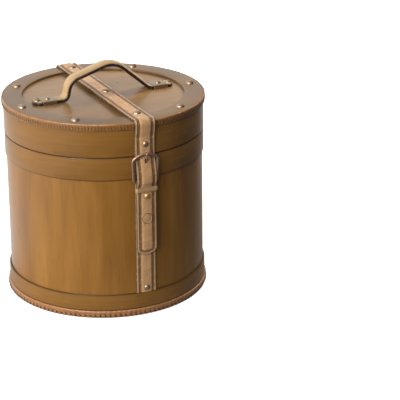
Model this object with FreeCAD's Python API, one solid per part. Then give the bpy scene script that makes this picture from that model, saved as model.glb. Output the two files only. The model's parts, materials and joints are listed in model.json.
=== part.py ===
import FreeCAD, Part
import math
import os

# Round hat box in bentwood veneer: hinged lid, strap, buckled flap and leather handle.
# Millimetres. The origin is the centre of the underside, +Z is up, the flap is at -Y,
# and the handle runs along X.

V = FreeCAD.Vector
UP = V(0, 0, 1)
FRONT = V(0, -1, 0)
BACK = V(0, 1, 0)

# Shell
lid_radius = 148.0           # outside of the lid's skirt
total_height = 297.9         # floor to the raised ring of the lid
lid_depth = 51.2             # parting line to the raised ring
skirt_wall = 3.0
tub_wall = 3.0
lid_overhang = 2.1           # the tub's wall stands in from the skirt by this
collar_thickness = 2.0
collar_height = 34.3
foot_thickness = 2.6
foot_height = 35.8
floor_gap = 0.3              # foot band and hem stay off the floor by this
base_thickness = 6.0
neck_thickness = 2.8
neck_rise = 10.0             # stands up inside the lid
neck_depth = 30.0            # glued inside the tub's wall
lining_thickness = 0.8
ring_width = 28.5
ring_rise = 3.7
panel_thickness = 4.0
hem_thickness = 2.2
hem_height = 11.0
hem_round = 2.0

# Straps
strap_width = 31.0
strap_thickness = 3.0
strap_bend = 5.0             # outer radius of the strap where it turns over the rim
flap_slack = 0.2             # air between the skirt and the straps that lie on it
lid_hinge_gap = 4.0          # strap solids stop this far from the lid's hinge line
back_strap_length = 92.0     # below the parting line
flap_hinge_rise = 11.3       # hinge line of the flap above the parting line
flap_hinge_gap = 3.0
lower_strap_top = 41.0       # below the parting line

# Flap and buckle, heights from the parting line
stack_gap = 0.3              # air between the flap's pieces and the lower strap
bar_drop = 38.2
bar_radius = 1.7
frame_margin = 4.1           # from the strap's edge to the middle of the side bar, at the top
frame_taper = 2.0            # the heel bar is this much shorter at each end
frame_offset = 1.0           # the buckle sits this far left of the strap's middle
frame_height = 34.8          # heel bar to the top corners
frame_arch = 9.5             # corners to the peak of the top bar, before it is rounded
frame_corner = 5.0
hole_drop = 9.2
hole_width = 3.4
hole_length = 12.0
prong_radius = 1.2
prong_width = 3.0
chape_inset = 3.5            # the chape is narrower than the strap by this at each edge
chape_thickness = 0.8
chape_slot = 4.0
keeper_drop = 50.2
keeper_height = 8.2
keeper_thickness = 1.0
keeper_slack = 0.2
chape_rivet_drop = 60.4
disc_drop = 94.4
disc_radius = 7.5
disc_height = 1.5
magnet_radius = 6.0
magnet_gap = 0.4
plate_thickness = 0.8
tip_drop = 150.2
tip_depth = 9.0              # of the flap's blunt round end

# Handle
handle_width = 24.0
handle_thickness = 4.5
handle_margin = 8.5          # between the handle's tips and the raised ring
foot_length = 36.0
arch_height = 45.4           # underside of the arch above the recessed panel
saddle_length = 22.0
saddle_inset = 12.0          # strap end that shows beyond the saddle
saddle_thickness = 1.2
saddle_slack = 0.2

# Rivets
rivet_radius = 6.2
rivet_height = 3.6
small_rivet_radius = 4.1
small_rivet_height = 2.4
shank_radius = 1.5
ring_rivet_angles = (-127.8, -83.5, -39.9, 32.7, 82.8, 137.7)   # degrees from the front, towards +X
front_rivet_inset = 2.5      # strap rivets on the lid, from the inner edge of the ring
back_rivet_seat = 4.5
middle_rivet_place = -8.4    # along Y, under the handle
skirt_rivet_rise = 17.3      # above the parting line
lower_rivet_inset = 6.6
back_rivet_inset = 12.0
back_rivet_pitch = 30.0

# Worked out from the sizes above
parting = total_height - lid_depth
tub_radius = lid_radius - lid_overhang
tub_inner = tub_radius - tub_wall
collar_radius = tub_radius + collar_thickness
foot_radius = tub_radius + foot_thickness
skirt_inner = lid_radius - skirt_wall
ring_inner = lid_radius - ring_width
panel_top = total_height - ring_rise
panel_bottom = panel_top - panel_thickness
neck_inner = tub_inner - neck_thickness
hem_radius = lid_radius + hem_thickness
strap_on_skirt = lid_radius + flap_slack
strap_on_hem = hem_radius + flap_slack
lower_strap_face = tub_radius + strap_thickness
keeper_back = lower_strap_face + stack_gap
chape_back = keeper_back + keeper_thickness
flap_back = chape_back + chape_thickness
flap_face = flap_back + strap_thickness
bar_height = parting - bar_drop
eye_radius = bar_radius + chape_thickness
bar_reach = keeper_back + eye_radius
bulge_back = bar_reach + eye_radius + 0.3
frame_half_width = strap_width / 2 + frame_margin
chape_width = strap_width - 2 * chape_inset
flap_top = max(strap_on_skirt, collar_radius + stack_gap)
frame_reach = flap_top + strap_thickness + 0.5 + bar_radius
flap_hinge = parting + flap_hinge_rise
handle_tip = ring_inner - handle_margin
handle_foot = handle_tip - foot_length

os.makedirs("parts", exist_ok=True)


def save(name, shape):
    """Write one node's solid or group of solids."""
    shape.exportStep("parts/" + name + ".step")


def disc(radius, low, high):
    return Part.makeCylinder(radius, high - low, V(0, 0, low))


def ring(inner, outer, low, high):
    return disc(outer, low, high).cut(disc(inner, low, high))


def turned(points):
    """Solid of revolution about Z from a closed outline of (radius, height) points."""
    outline = [V(r, 0, z) for r, z in points]
    outline.append(outline[0])
    return Part.Face(Part.makePolygon(outline)).revolve(V(0, 0, 0), UP, 360)


def box(x, y, z):
    """Box from three (low, high) pairs."""
    return Part.makeBox(x[1] - x[0], y[1] - y[0], z[1] - z[0], V(x[0], y[0], z[0]))


def rod(start, end, radius):
    return Part.makeCylinder(radius, (end - start).Length, start, end - start)


def rounded_line(corners, radii, shift):
    """Edges in the XY plane through the corners, moved shift to the left, each corner rounded by an arc."""
    points = [V(u, w, 0) for u, w in corners]
    steps = [(b - a).normalize() for a, b in zip(points, points[1:])]
    lefts = [V(-s.y, s.x, 0) for s in steps]
    edges = []
    start = points[0] + lefts[0] * shift
    for i, radius in enumerate(radii):
        turn = math.asin(steps[i].cross(steps[i + 1]).z)
        middle = (lefts[i] + lefts[i + 1]).normalize()
        corner = points[i + 1] + middle * (shift / math.cos(turn / 2))
        bend = radius - shift if turn > 0 else radius + shift
        reach = bend * math.tan(abs(turn) / 2)
        before = corner - steps[i] * reach
        after = corner + steps[i + 1] * reach
        side = middle if turn > 0 else middle * -1
        crown = corner + side * (bend / math.cos(turn / 2) - bend)
        edges.append(Part.makeLine(start, before))
        edges.append(Part.Arc(before, crown, after).toShape())
        start = after
    edges.append(Part.makeLine(start, points[-1] + lefts[-1] * shift))
    return edges


def strip(corners, radii, thickness, width, along):
    """Strap: a rounded line through (u, height) corners, thickened to its left and made width wide.

    along is "x" for a line in the YZ plane and "y" for a line in the XZ plane."""
    inner = rounded_line(corners, radii, 0)
    outer = rounded_line(corners, radii, thickness)
    caps = [
        Part.makeLine(inner[-1].Vertexes[-1].Point, outer[-1].Vertexes[-1].Point),
        Part.makeLine(outer[0].Vertexes[0].Point, inner[0].Vertexes[0].Point),
    ]
    outline = Part.Wire(Part.__sortEdges__(inner + outer + caps))
    face = Part.Face(outline)
    face.rotate(V(0, 0, 0), V(1, 0, 0), 90)
    if along == "x":
        face.rotate(V(0, 0, 0), UP, 90)
        face.translate(V(-width / 2, 0, 0))
        return face.extrude(V(width, 0, 0))
    face.translate(V(0, -width / 2, 0))
    return face.extrude(V(0, width, 0))


def wrapped(inner, outer, low, high, side):
    """Strap that lies on a round wall: the part of a ring within the strap's width, at +Y or -Y."""
    reach = (0, outer + 1) if side > 0 else (-outer - 1, 0)
    half = strap_width / 2
    return ring(inner, outer, low, high).common(box((-half, half), reach, (low, high)))


def rounded_end(shape, side, height, depth):
    """Cut a strap's lower end, at this height, to a half ellipse across its width."""
    half = strap_width / 2
    far = lid_radius + 20
    reach = (0, far) if side > 0 else (-far, 0)
    block = box((-half - 1, half + 1), reach, (height, height + depth))
    oval = Part.Face(Part.Wire(Part.Ellipse(V(0, 0, 0), half, depth).toShape()))
    oval.rotate(V(0, 0, 0), V(1, 0, 0), 90)
    oval.translate(V(0, reach[0], height + depth))
    return shape.cut(block.cut(oval.extrude(BACK * far)))


def turn_to(shape, direction):
    """Turn a shape made along +Z to point along direction."""
    shape.Placement = FreeCAD.Placement(V(0, 0, 0), FreeCAD.Rotation(UP, direction))
    return shape


def rivet(at, direction, radius, height, shank):
    """Domed rivet whose head sits at the point, with its shank going back into the work."""
    ball = (radius * radius + height * height) / (2 * height)
    dome = Part.makeSphere(ball, V(0, 0, height - ball)).common(Part.makeCylinder(radius, height))
    pin = Part.makeCylinder(shank_radius, shank, V(0, 0, -shank))
    head = turn_to(dome.fuse(pin).removeSplitter(), direction)
    head.translate(at)
    return head


def rivet_hole(at, direction, depth):
    pin = turn_to(Part.makeCylinder(shank_radius, depth + 1, V(0, 0, -depth)), direction)
    pin.translate(at)
    return pin


def on_ring(angle, radius, height):
    """Point at an angle in degrees from the front, towards +X."""
    turn = math.radians(angle)
    return V(radius * math.sin(turn), -radius * math.cos(turn), height)


# Rivets that pass through more than one piece: place, direction, shank length
ring_middle = (ring_inner + lid_radius) / 2
ring_set = [
    (on_ring(angle, ring_middle, total_height), UP, total_height - panel_bottom)
    for angle in ring_rivet_angles
]
strap_top = total_height + strap_thickness
strap_rivet_places = (-ring_inner - front_rivet_inset, middle_rivet_place, ring_inner + back_rivet_seat)
strap_set = [(V(0, y, strap_top), UP, strap_top - panel_bottom) for y in strap_rivet_places]
skirt_set = [
    (side * (strap_on_skirt + strap_thickness) + UP * (parting + skirt_rivet_rise), side,
     flap_slack + strap_thickness + skirt_wall)
    for side in (FRONT, BACK)
]
lower_foot = foot_height
lower_top = parting - lower_strap_top
lower_rivet = FRONT * lower_strap_face + UP * (lower_foot + lower_rivet_inset)
lower_set = [(lower_rivet, FRONT, strap_thickness + tub_wall)]
back_foot = parting - back_strap_length
back_rivet = BACK * (tub_radius + strap_thickness) + UP * (back_foot + back_rivet_inset)
back_set = [
    (back_rivet + UP * (step * back_rivet_pitch), BACK, strap_thickness + tub_wall)
    for step in (0, 1)
]
saddle_middle = handle_tip - saddle_inset - saddle_length / 2
tip_rivet = handle_tip - saddle_inset / 2
saddle_top = panel_top + handle_thickness + saddle_thickness
handle_top = panel_top + handle_thickness
handle_sets = {
    name: [(V(side * saddle_middle, 0, saddle_top), UP, saddle_top - panel_bottom),
           (V(side * tip_rivet, 0, handle_top), UP, handle_top - panel_bottom)]
    for name, side in (("left", -1), ("right", 1))
}


def drill(shape, *sets):
    """Cut the holes of these rivets."""
    for group in sets:
        for place in group:
            shape = shape.cut(rivet_hole(*place))
    return shape


def rivets(group, radius, height):
    return Part.makeCompound([rivet(at, way, radius, height, shank) for at, way, shank in group])


def make_tub():
    wall = ring(tub_inner, tub_radius, 0, parting)
    save("body_wall", drill(wall, lower_set, back_set))
    save("base_board", disc(tub_inner, 0, base_thickness))
    save("collar_band", ring(tub_radius, collar_radius, parting - collar_height, parting))
    save("foot_band", ring(tub_radius, foot_radius, floor_gap, foot_height))
    hem = turned([(foot_radius, floor_gap), (foot_radius + hem_thickness - hem_round, floor_gap),
                  (foot_radius + hem_thickness, floor_gap + hem_round),
                  (foot_radius + hem_thickness, hem_height - hem_round),
                  (foot_radius + hem_thickness - hem_round, hem_height), (foot_radius, hem_height)])
    save("foot_hem", hem)
    neck_low = parting - neck_depth
    save("neck_ring", ring(neck_inner, tub_inner, neck_low, parting + neck_rise))
    floor_top = base_thickness + lining_thickness
    save("base_lining", disc(tub_inner, base_thickness, floor_top))
    save("side_lining", ring(tub_inner - lining_thickness, tub_inner, floor_top, neck_low))


def make_lower_strap():
    strap = wrapped(tub_radius, lower_strap_face, lower_foot, lower_top, -1)
    plate_face = math.sqrt(lower_strap_face ** 2 - magnet_radius ** 2) - 0.1
    plate_seat = V(0, plate_thickness - plate_face, parting - disc_drop)
    pocket = Part.makeCylinder(magnet_radius, 2 * strap_thickness, plate_seat, FRONT)
    plate = Part.makeCylinder(magnet_radius, plate_thickness, plate_seat, FRONT)
    save("lower_strap", drill(strap.cut(pocket), lower_set))
    save("magnet_plate", plate)
    save("lower_strap_rivet", rivets(lower_set, small_rivet_radius, small_rivet_height))


def make_back_strap():
    """Strap down the back of the tub: flat behind the collar band, then down the wall."""
    top = parting - lid_hinge_gap
    step = parting - collar_height
    upper = wrapped(collar_radius, collar_radius + strap_thickness, step - strap_thickness, top, 1)
    lower = wrapped(tub_radius, tub_radius + strap_thickness, back_foot, step, 1)
    strap = rounded_end(lower.fuse(upper).removeSplitter(), 1, back_foot, tip_depth)
    save("back_strap", drill(strap, back_set))
    save("back_strap_rivets", rivets(back_set, small_rivet_radius, small_rivet_height))


def make_lid():
    skirt = ring(skirt_inner, lid_radius, parting, panel_top)
    save("lid_skirt", drill(skirt, skirt_set))
    panel = disc(skirt_inner, panel_bottom, panel_top)
    save("lid_panel", drill(panel, ring_set, strap_set, *handle_sets.values()))
    save("lid_ring", drill(ring(ring_inner, lid_radius, panel_top, total_height), ring_set, strap_set))
    low = total_height - hem_height
    hem = turned([(lid_radius, low), (hem_radius - hem_round, low), (hem_radius, low + hem_round),
                  (hem_radius, total_height - hem_round), (hem_radius - hem_round, total_height),
                  (lid_radius, total_height)])
    save("lid_hem", hem)
    top_cloth = disc(skirt_inner, panel_bottom - lining_thickness, panel_bottom)
    side_cloth = ring(skirt_inner - lining_thickness, skirt_inner, parting + lining_thickness, panel_bottom)
    save("lid_lining", top_cloth.fuse(side_cloth).removeSplitter())
    save("ring_rivets", rivets(ring_set, rivet_radius, rivet_height))


def make_lid_strap():
    """Strap over the lid: up the front of the skirt, over the hem, across the top and down the back."""
    under_hem = total_height - hem_height - 2
    jog = 4 * hem_thickness
    front_end = flap_hinge + flap_hinge_gap
    back_end = parting + lid_hinge_gap
    corners = [(strap_on_skirt, back_end), (strap_on_skirt, under_hem - jog), (strap_on_hem, under_hem),
               (strap_on_hem, total_height), (-strap_on_hem, total_height), (-strap_on_hem, under_hem),
               (-strap_on_skirt, under_hem - jog), (-strap_on_skirt, front_end)]
    turn = strap_bend - strap_thickness
    # The line runs up the back and down the front, so its right-hand side is the outside
    corners.reverse()
    strap = strip(corners, [strap_bend, strap_bend, turn, turn, strap_bend, strap_bend],
                  strap_thickness, strap_width, "x")
    save("lid_strap", drill(strap, strap_set, skirt_set))
    save("strap_rivets", rivets(strap_set, rivet_radius, rivet_height))
    save("skirt_rivets", rivets(skirt_set, small_rivet_radius, small_rivet_height))


def make_flap():
    """Flap from its hinge line, out over the buckle's heel bar and down to a round tip."""
    tip = parting - tip_drop
    keeper_top = parting - keeper_drop + keeper_height / 2
    corners = [(-flap_back, tip), (-flap_back, keeper_top + 1.5), (-bulge_back, bar_height - 0.5),
               (-bulge_back, bar_height + 4 * eye_radius), (-flap_top, parting - 3),
               (-flap_top, flap_hinge - flap_hinge_gap)]
    flap = strip(corners, [5, 5, 14, 14], strap_thickness, strap_width, "x")
    flap = rounded_end(flap, -1, tip, tip_depth)
    hole_height = parting - hole_drop
    slot = box((-hole_width / 2, hole_width / 2), (-bulge_back - 10, -strap_on_skirt + 1),
               (hole_height - hole_length / 2, hole_height + hole_length / 2))
    rivet_seat = FRONT * flap_face + UP * (parting - chape_rivet_drop)
    rivet_place = [(rivet_seat, FRONT, strap_thickness + chape_thickness)]
    disc_place = [(FRONT * flap_face + UP * (parting - disc_drop), FRONT, strap_thickness)]
    save("flap_strap", drill(flap.cut(slot), rivet_place, disc_place))
    save("chape_rivet", rivets(rivet_place, small_rivet_radius, small_rivet_height))
    save("flap_disc", rivets(disc_place, disc_radius, disc_height))
    return rivet_place


def make_magnet():
    height = parting - disc_drop
    back = lower_strap_face + magnet_gap
    save("flap_magnet", Part.makeCylinder(magnet_radius, flap_back - back, V(0, -back, height), FRONT))


def make_buckle(rivet_place):
    """Bent wire frame, its prong, the chape that holds the heel bar and the keeper loop."""
    half = frame_half_width
    heel = half - frame_taper
    path = [(0, 0), (heel, 0), (half, frame_height), (0, frame_height + frame_arch),
            (-half, frame_height), (-heel, 0), (0, 0)]
    bends = [frame_corner, frame_corner, 5 * frame_corner, frame_corner, frame_corner]
    line = rounded_line(path, bends, 0)
    wire = Part.Wire(line)
    section = Part.Wire(Part.makeCircle(bar_radius, V(0, 0, 0), V(1, 0, 0)))
    frame = wire.makePipeShell([section], True, True)
    peak = frame_height + frame_arch
    lean = math.degrees(math.asin((frame_reach - bar_reach) / peak))
    frame.rotate(V(0, 0, 0), V(1, 0, 0), 90 + lean)
    bar = V(0, -bar_reach, bar_height)
    frame.translate(bar - V(frame_offset, 0, 0))
    save("buckle_frame", frame)

    eye = Part.makeCylinder(eye_radius, prong_width, bar - V(prong_width / 2, 0, 0), V(1, 0, 0))
    eye_bore = Part.makeCylinder(bar_radius, chape_width, bar - V(chape_width / 2, 0, 0), V(1, 0, 0))
    tip_height = bar_height + peak - 1
    stem_reach = collar_radius + stack_gap + prong_radius
    tip_reach = frame_reach + bar_radius + prong_radius + 0.1
    route = [bar, V(0, -stem_reach, bar_height + 8), V(0, -stem_reach, parting - hole_drop - 4.5),
             V(0, -tip_reach, parting - hole_drop + 6.5), V(0, -tip_reach, tip_height)]
    pieces = [rod(a, b, prong_radius) for a, b in zip(route, route[1:])]
    pieces += [Part.makeSphere(prong_radius, point) for point in route[1:]]
    prong = eye.multiFuse(pieces).cut(eye_bore)
    save("buckle_prong", prong.removeSplitter())

    plate_low = parting - chape_rivet_drop - 8
    plate = box((-chape_width / 2, chape_width / 2), (-flap_back, -chape_back), (plate_low, bar_height))
    sleeve = Part.makeCylinder(eye_radius, chape_width, bar - V(chape_width / 2, 0, 0), V(1, 0, 0))
    slot = box((-chape_slot / 2, chape_slot / 2), (-flap_back - 10, -keeper_back + 1),
               (bar_height - eye_radius - 1, bar_height + eye_radius + 1))
    chape = plate.fuse(sleeve).cut(eye_bore).cut(slot)
    save("buckle_chape", drill(chape.removeSplitter(), rivet_place))

    wide = strap_width / 2 + keeper_slack
    low = parting - keeper_drop - keeper_height / 2
    outer = box((-wide - keeper_thickness, wide + keeper_thickness),
                (-flap_face - keeper_slack - keeper_thickness, -keeper_back), (low, low + keeper_height))
    inner = box((-wide, wide), (-flap_face - keeper_slack, -chape_back), (low, low + keeper_height))
    upright = [edge for edge in outer.Edges if abs(edge.tangentAt(edge.FirstParameter).z) > 0.9]
    save("keeper_loop", outer.makeFillet(keeper_thickness, upright).cut(inner))


def make_handle():
    """Leather handle with flat feet on the recessed panel and an arch over the strap."""
    peak = panel_top + arch_height
    foot = handle_foot
    corners = [(-handle_tip, panel_top), (foot * -0.78, panel_top), (foot * -0.7, peak - 18),
               (foot * 0.19, peak + 3), (foot * 0.93, panel_top), (handle_tip, panel_top)]
    bends = [foot * share for share in (0.12, 0.17, 0.33, 0.23)]
    strap = strip(corners, bends, handle_thickness, handle_width, "y")
    save("handle_strap", drill(strap, *handle_sets.values()))
    inside = handle_width / 2 + saddle_slack
    outside = inside + saddle_thickness
    for name, side in (("left", -1), ("right", 1)):
        outer = handle_tip - saddle_inset
        ends = sorted((side * outer, side * (outer - saddle_length)))
        saddle = box(ends, (-outside, outside), (panel_top, saddle_top)).cut(
            box(ends, (-inside, inside), (panel_top, handle_top)))
        save("handle_saddle_" + name, drill(saddle, handle_sets[name]))
        save("handle_rivets_" + name, rivets(handle_sets[name], small_rivet_radius, small_rivet_height))


make_tub()
make_lower_strap()
make_back_strap()
make_lid()
make_lid_strap()
make_buckle(make_flap())
make_magnet()
make_handle()
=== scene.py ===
import bmesh
import bpy
import json
import math
import numpy as np
from mathutils import Matrix, Vector


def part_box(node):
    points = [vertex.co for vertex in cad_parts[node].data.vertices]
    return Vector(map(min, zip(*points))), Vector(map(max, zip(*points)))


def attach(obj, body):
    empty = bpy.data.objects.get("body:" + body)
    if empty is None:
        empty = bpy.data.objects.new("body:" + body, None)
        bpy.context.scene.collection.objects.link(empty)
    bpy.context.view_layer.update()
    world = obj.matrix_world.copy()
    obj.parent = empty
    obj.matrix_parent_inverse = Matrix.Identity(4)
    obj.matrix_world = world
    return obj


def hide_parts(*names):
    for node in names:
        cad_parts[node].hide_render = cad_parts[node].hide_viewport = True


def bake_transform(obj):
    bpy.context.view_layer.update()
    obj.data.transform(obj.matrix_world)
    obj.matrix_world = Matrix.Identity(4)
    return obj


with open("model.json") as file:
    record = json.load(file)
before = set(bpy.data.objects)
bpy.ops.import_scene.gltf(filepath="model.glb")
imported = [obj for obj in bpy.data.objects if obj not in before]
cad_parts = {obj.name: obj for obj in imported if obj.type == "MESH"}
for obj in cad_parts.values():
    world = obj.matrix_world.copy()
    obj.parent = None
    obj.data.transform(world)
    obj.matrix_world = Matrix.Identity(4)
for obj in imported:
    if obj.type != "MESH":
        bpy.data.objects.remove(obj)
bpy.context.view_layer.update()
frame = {"nodes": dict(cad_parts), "record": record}
print("frame loaded:", len(frame["nodes"]), "nodes")

# A round bentwood hat box. Shapes are worked out in millimetres and made in metres.
# The front strap is at -Y and the handle runs along X.


# Lowest and highest corner of a CAD node, in millimetres.
def nodeBox(node):
    low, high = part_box(node)
    return np.array(low) * 1000, np.array(high) * 1000


skirtLow, skirtHigh = nodeBox("lid_skirt")
ringHigh = nodeBox("lid_ring")[1]
wallHigh = nodeBox("body_wall")[1]
collarLow, collarHigh = nodeBox("collar_band")
footHigh = nodeBox("foot_band")[1]
flapLow, flapHigh = nodeBox("flap_strap")
handleLow, handleHigh = nodeBox("handle_strap")
lidHemLow, lidHemHigh = nodeBox("lid_hem")
hinges = {joint["name"]: np.array(joint["pos_m"]) * 1000
          for joint in frame["record"]["behaviour"]["joints"]}

box = {
    "skirtRadius": skirtHigh[0],
    "tubRadius": wallHigh[0],
    "collarRadius": collarHigh[0],
    "footRadius": footHigh[0],
    "parting": skirtLow[2],
    "top": ringHigh[2],
    "panelTop": skirtHigh[2],
    "collarFoot": collarLow[2],
    "footTop": footHigh[2],
    "footHemTop": nodeBox("foot_hem")[1][2],
    "ringInner": 119.5,
    "wall": 3.0,
}


# Points of a line of straight runs joined by tangent arcs of the given radii, about step apart on the
# arcs.
def roundedLine(corners, radii, step=0.8):
    corners = np.array(corners, float)
    pieces = [corners[:1]]
    for before, corner, after, radius in zip(corners, corners[1:], corners[2:], radii):
        stepIn = (corner - before) / np.linalg.norm(corner - before)
        stepOut = (after - corner) / np.linalg.norm(after - corner)
        turn = math.atan2(stepIn[0] * stepOut[1] - stepIn[1] * stepOut[0], stepIn @ stepOut)
        reach = radius * math.tan(abs(turn) / 2)
        left = np.array([-stepIn[1], stepIn[0]]) * math.copysign(radius, turn)
        centre = corner - stepIn * reach + left
        angle = np.linspace(0, turn, max(4, int(abs(turn) * radius / step) + 2))
        pieces.append(centre - np.outer(np.cos(angle), left) - np.outer(np.sin(angle), [-left[1], left[0]]))
    pieces.append(corners[-1:])
    return np.vstack(pieces)


# Distance along the line at each of its points.
def lineLength(line):
    return np.concatenate([[0], np.cumsum(np.linalg.norm(np.diff(line, axis=0), axis=1))])


# Point and left-hand normal of a plane line at these distances along it. The heading is the difference of
# the points a little ahead and a little behind.
def alongLine(line, places):
    length = lineLength(line)
    at = np.stack([np.interp(places, length, line[:, k]) for k in (0, 1)], -1)
    reach = 0.6
    ahead = np.stack([np.interp(places + reach, length, line[:, k]) for k in (0, 1)], -1)
    behind = np.stack([np.interp(places - reach, length, line[:, k]) for k in (0, 1)], -1)
    heading = ahead - behind
    heading /= np.linalg.norm(heading, axis=1, keepdims=True)
    return at, np.stack([-heading[:, 1], heading[:, 0]], -1)


# Even distances round a closed line, one fewer than count, with the point and normal at each.
def evenly(line, count):
    closed = np.vstack([line, line[:1]])
    places = np.linspace(0, lineLength(closed)[-1], count)[:-1]
    return places, *alongLine(np.vstack([closed, line[1:2]]), places)


# Object from points in millimetres and faces. The sum of its signed volumes says whether its faces point
# outwards, and turns them if not. uv is one pair per face corner.
def makeMesh(name, points, faces, uv=None, material=None, sharp=35, weld=False):
    points = np.asarray(points, float)
    mesh = bpy.data.meshes.new(name)
    counts = np.array([len(face) for face in faces])
    starts = np.concatenate([[0], np.cumsum(counts)[:-1]])
    flat = np.concatenate([np.asarray(face) for face in faces])
    first = points[flat[starts]]
    middle = points[flat[starts + 1]]
    last = points[flat[starts + 2]]
    volume = np.einsum("ij,ij->i", first, np.cross(middle, last)).sum()
    if (counts == 4).any():
        quads = starts[counts == 4]
        a, b, c = points[flat[quads]], points[flat[quads + 2]], points[flat[quads + 3]]
        volume += np.einsum("ij,ij->i", a, np.cross(b, c)).sum()
    if volume < 0:
        faces = [face[::-1] for face in faces]
        if uv is not None:
            uv = np.concatenate([uv[s:s + n][::-1] for s, n in zip(starts, counts)])
    mesh.from_pydata(points * 0.001, [], [list(map(int, face)) for face in faces])
    if uv is not None:
        layer = mesh.uv_layers.new(name="size")
        layer.data.foreach_set("uv", np.asarray(uv, np.float32).ravel())
    if weld:
        work = bmesh.new()
        work.from_mesh(mesh)
        bmesh.ops.remove_doubles(work, verts=work.verts, dist=1e-7)
        work.to_mesh(mesh)
        work.free()
    mesh.shade_smooth()
    mesh.set_sharp_from_angle(angle=math.radians(sharp))
    mesh.validate()
    piece = bpy.data.objects.new(name, mesh)
    bpy.context.scene.collection.objects.link(piece)
    if material:
        mesh.materials.append(material)
    return piece


# Closed skin over a grid of points: along the piece, then round its section. Open ends are closed by a
# fan.
def surface(name, grid, uv, material, loopAlong=False, sharp=35, weld=False):
    along, across = grid.shape[:2]
    steps = along if loopAlong else along - 1
    i, j = np.meshgrid(np.arange(steps), np.arange(across), indexing="ij")
    ring = [(i % along) * across + j % across, ((i + 1) % along) * across + j % across,
            ((i + 1) % along) * across + (j + 1) % across, (i % along) * across + (j + 1) % across]
    faces = np.stack(ring, -1).reshape(-1, 4)
    corners = np.stack([uv[i, j], uv[i + 1, j], uv[i + 1, j + 1], uv[i, j + 1]], 2).reshape(-1, 2)
    points = grid.reshape(-1, 3)
    faceList = list(faces)
    if not loopAlong:
        for row, flip in ((0, False), (along - 1, True)):
            edge = row * across + np.arange(across)
            centre = len(points)
            points = np.vstack([points, grid[row].mean(0)])
            fan = np.stack([np.full(across, centre), np.roll(edge, -1), edge], -1)
            faceList += list(fan[:, ::-1] if flip else fan)
            corners = np.vstack([corners, np.zeros((3 * across, 2))])
    return makeMesh(name, points, faceList, corners, material, sharp, weld)


# Ring turned about Z from a closed outline of (radius, height). The seam is at the back. Its map is arc
# length by length round the outline. ripple(angle, outline) adds to the radius.
def turned(name, outline, material, segments=240, ripple=None, sharp=35):
    outline = np.asarray(outline, float)
    angle = np.linspace(0, 2 * np.pi, segments, endpoint=False)
    radius = np.repeat(outline[None, :, 0], segments, 0)
    if ripple is not None:
        radius = radius + ripple(angle[:, None], outline[None])
    grid = np.stack([np.sin(angle)[:, None] * radius, np.cos(angle)[:, None] * radius,
                     np.repeat(outline[None, :, 1], segments, 0)], -1)
    mapAlong = np.linspace(0, 2 * np.pi, segments + 1) * outline[:, 0].max() * 0.001
    mapAcross = lineLength(np.vstack([outline, outline[:1]])) * 0.001
    uv = np.stack(np.meshgrid(mapAlong, mapAcross, indexing="ij"), -1)
    onAxis = bool((outline[:, 0] < 1e-6).any())
    return surface(name, grid, uv, material, loopAlong=True, sharp=sharp, weld=onAxis)


# One mesh of many copies of a small shape. turns is one 3 by 3 matrix of axes per copy.
def repeated(name, points, faces, places, turns, material, sharp=60):
    count = len(points)
    everyPoint = np.einsum("kab,pb->kpa", turns, points) + places[:, None]
    everyFace = np.asarray(faces)[None] + np.arange(len(places))[:, None, None] * count
    everyFace = list(everyFace.reshape(-1, len(faces[0])))
    return makeMesh(name, everyPoint.reshape(-1, 3), everyFace, None, material, sharp, weld=count > 100)


# Short plump thread lying along its first axis: radius times the root of a sine, from end to end.
def threadShape(length, radius):
    sides, rings = 6, 5
    t = np.linspace(0.04, 0.96, rings)
    girth = radius * np.sin(np.pi * t) ** 0.5
    turn = np.linspace(0, 2 * np.pi, sides, endpoint=False)
    grid = np.stack([np.repeat(((t - 0.5) * length)[:, None], sides, 1), girth[:, None] * np.cos(turn),
                     girth[:, None] * np.sin(turn)], -1)
    i, j = np.meshgrid(np.arange(rings - 1), np.arange(sides), indexing="ij")
    faces = np.stack([i * sides + j, i * sides + (j + 1) % sides, (i + 1) * sides + (j + 1) % sides,
                      (i + 1) * sides + j], -1).reshape(-1, 4)
    caps = [[0, 5, 4, 1], [1, 4, 3, 2]]  # two four-sided faces close each six-sided end
    last = (rings - 1) * sides
    caps += [[last, last + 1, last + 4, last + 5], [last + 1, last + 2, last + 3, last + 4]]
    return grid.reshape(-1, 3), np.vstack([faces, caps])


# sRGB hex to linear colour.
def paint(code):
    parts = np.array([int(code[k:k + 2], 16) / 255 for k in (1, 3, 5)])
    linear = np.where(parts <= 0.04045, parts / 12.92, ((parts + 0.055) / 1.055) ** 2.4)
    return (*map(float, linear), 1.0)


# Add a node. settings are its properties, and inputs its sockets by name or number: a value, or a socket to
# link.
def add(tree, kind, inputs=None, **settings):
    made = tree.nodes.new("ShaderNode" + kind)
    for key, value in settings.items():
        if key == "stops":
            ramp = made.color_ramp
            while len(ramp.elements) < len(value):
                ramp.elements.new(0.5)
            for element, (place, colour) in zip(ramp.elements, value):
                element.position = place
                element.color = colour if isinstance(colour, tuple) else paint(colour)
        else:
            setattr(made, key, value)
    for key, value in (inputs or {}).items():
        socket = made.inputs[key]
        if isinstance(value, bpy.types.NodeSocket):
            tree.links.new(value, socket)
        else:
            socket.default_value = value
    return made


# Material with one principled shader whose plain sockets are set here.
def newMaterial(name, **sockets):
    material = bpy.data.materials.new(name)
    material.use_nodes = True
    tree = material.node_tree
    shader = tree.nodes["Principled BSDF"]
    for key, value in sockets.items():
        shader.inputs[key.replace("_", " ")].default_value = value
    return material, tree, shader


# Relief: the height pattern tilts the shader's normal, over distance in metres.
def bump(tree, shader, height, strength, distance):
    made = add(tree, "Bump", {"Height": height, "Strength": strength, "Distance": distance})
    tree.links.new(made.outputs["Normal"], shader.inputs["Normal"])


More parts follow.
